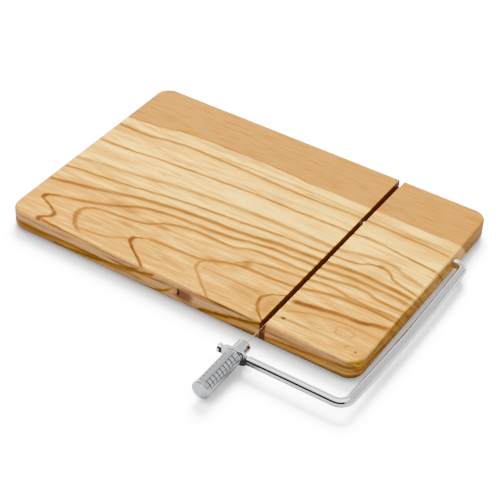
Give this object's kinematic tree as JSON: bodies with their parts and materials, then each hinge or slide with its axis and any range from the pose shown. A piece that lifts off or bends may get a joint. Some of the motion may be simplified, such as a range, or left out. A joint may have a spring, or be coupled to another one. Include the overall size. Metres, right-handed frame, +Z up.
{
  "type": "cheese slicer board",
  "caption": "Wooden cutting board with a hinged wire bow; the wire drops into a slot across the board to slice cheese, and a screw handle tightens it.",
  "frame": {"origin": "centre of the board's flat underside", "axes": "+X along the board's long side towards the end that carries the bow, +Y to the back edge, away from the handle, +Z up out of the cutting surface"},
  "size_m": [0.3141, 0.2768, 0.018],
  "materials": {
    "olive_wood": "oiled, satin",
    "chrome": "bright plated",
    "satin_chrome": "satin plated",
    "steel_wire": "drawn stainless",
    "brass": "machined"
  },
  "bodies": {
    "board": {"board": "olive_wood"},
    "bow": {"bow_rod": "chrome", "cutting_wire": "steel_wire", "wire_barrel_rear": "brass", "wire_barrel_front": "brass", "thrust_washer": "chrome"},
    "tension_bolt": {"tension_bolt": "chrome"},
    "handle": {"handle_insert": "chrome", "handle_grip": "satin_chrome", "handle_cap": "satin_chrome"}
  },
  "joints": [
    {"name": "bow_lift", "type": "hinge", "parent": "board", "child": "bow", "pos_m": [0.15, 0.043, 0.0108], "axis": [-1, 0, 0], "range_deg": [0, 180]},
    {"name": "handle_turn", "type": "hinge", "parent": "bow", "child": "handle", "pos_m": [0.0728, -0.15, 0.0108], "axis": [0, -1, 0], "range_deg": [0, 1080]},
    {"name": "bolt_travel", "type": "slide", "parent": "bow", "child": "tension_bolt", "axis": [0, 1, 0], "range_m": [0, 0.0025]}
  ],
  "couplings": [
    {"joint": "bolt_travel", "follows": "handle_turn", "m_per_rad": 0.00012732}
  ]
}
